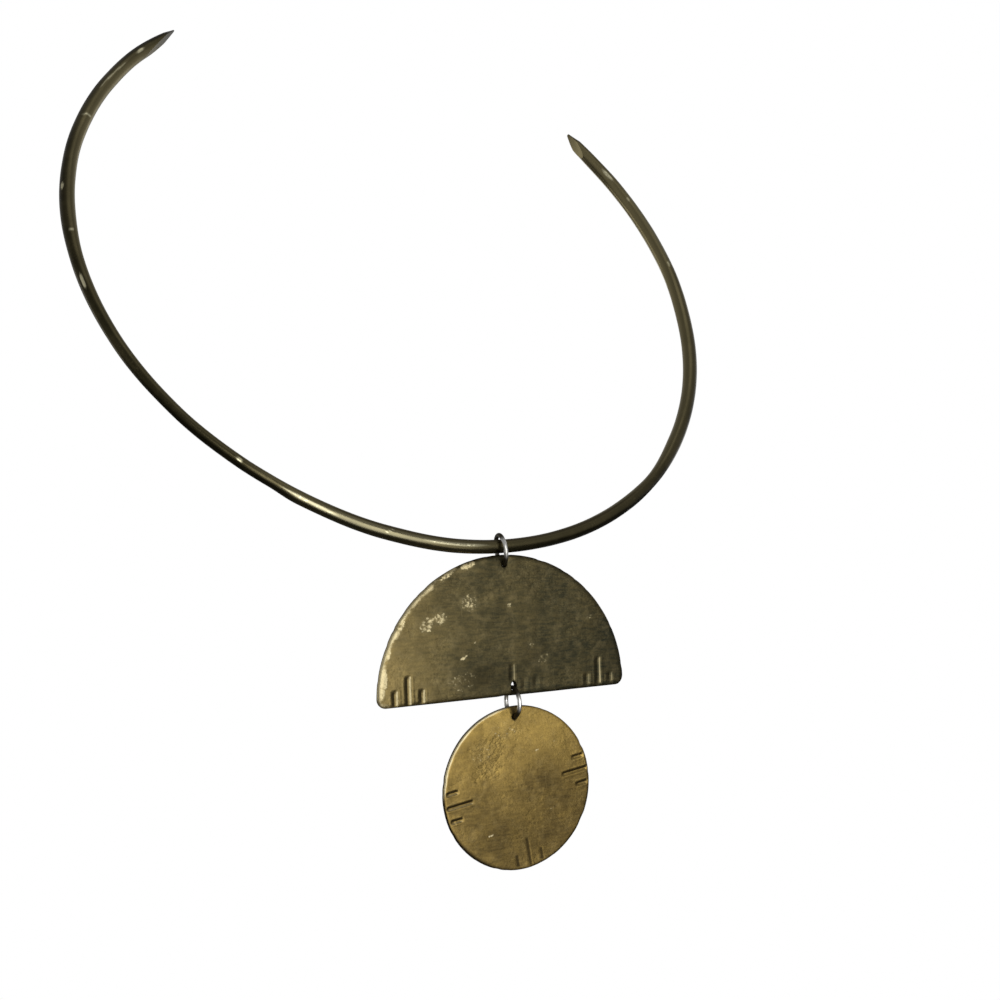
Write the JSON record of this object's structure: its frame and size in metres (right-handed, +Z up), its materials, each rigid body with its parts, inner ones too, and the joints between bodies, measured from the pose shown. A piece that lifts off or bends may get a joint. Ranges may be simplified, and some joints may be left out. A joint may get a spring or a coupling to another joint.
{
  "type": "collar necklace",
  "caption": "Stiff open collar of round brass rod with a half-moon plate and a round disc hanging one below the other on wire jump rings.",
  "frame": {"origin": "centre of the neck ring's circle, where the neck stands in it", "axes": "+Z up as worn, +X to the right along the ring's front, and the plates face -Y; the ring rises to the back"},
  "size_m": [0.1324, 0.0669, 0.1618],
  "materials": {
    "rod_brass": "darkened brass with bright worn lines and fine scratches",
    "moon_brass": "olive-brown tarnish, worn bright along the rim and in small scratched patches",
    "disc_brass": "golden brown, lightly tarnished, satin",
    "wire_steel": "smooth bright wire"
  },
  "bodies": {
    "collar": {"neck_ring": "rod_brass"},
    "half_moon": {"upper_jump_ring": "wire_steel", "half_moon_plate": "moon_brass"},
    "disc": {"lower_jump_ring": "wire_steel", "disc_plate": "disc_brass"}
  },
  "joints": [
    {"name": "half_moon_swing", "type": "hinge", "parent": "collar", "child": "half_moon", "pos_m": [0, -0.03396, -0.05542], "axis": [1, 0, 0], "range_deg": [-60, 60]},
    {"name": "disc_swing", "type": "hinge", "parent": "half_moon", "child": "disc", "pos_m": [0.0012, -0.03405, -0.08212], "axis": [0.9976, -0.0698, 0], "range_deg": [-60, 60]}
  ]
}
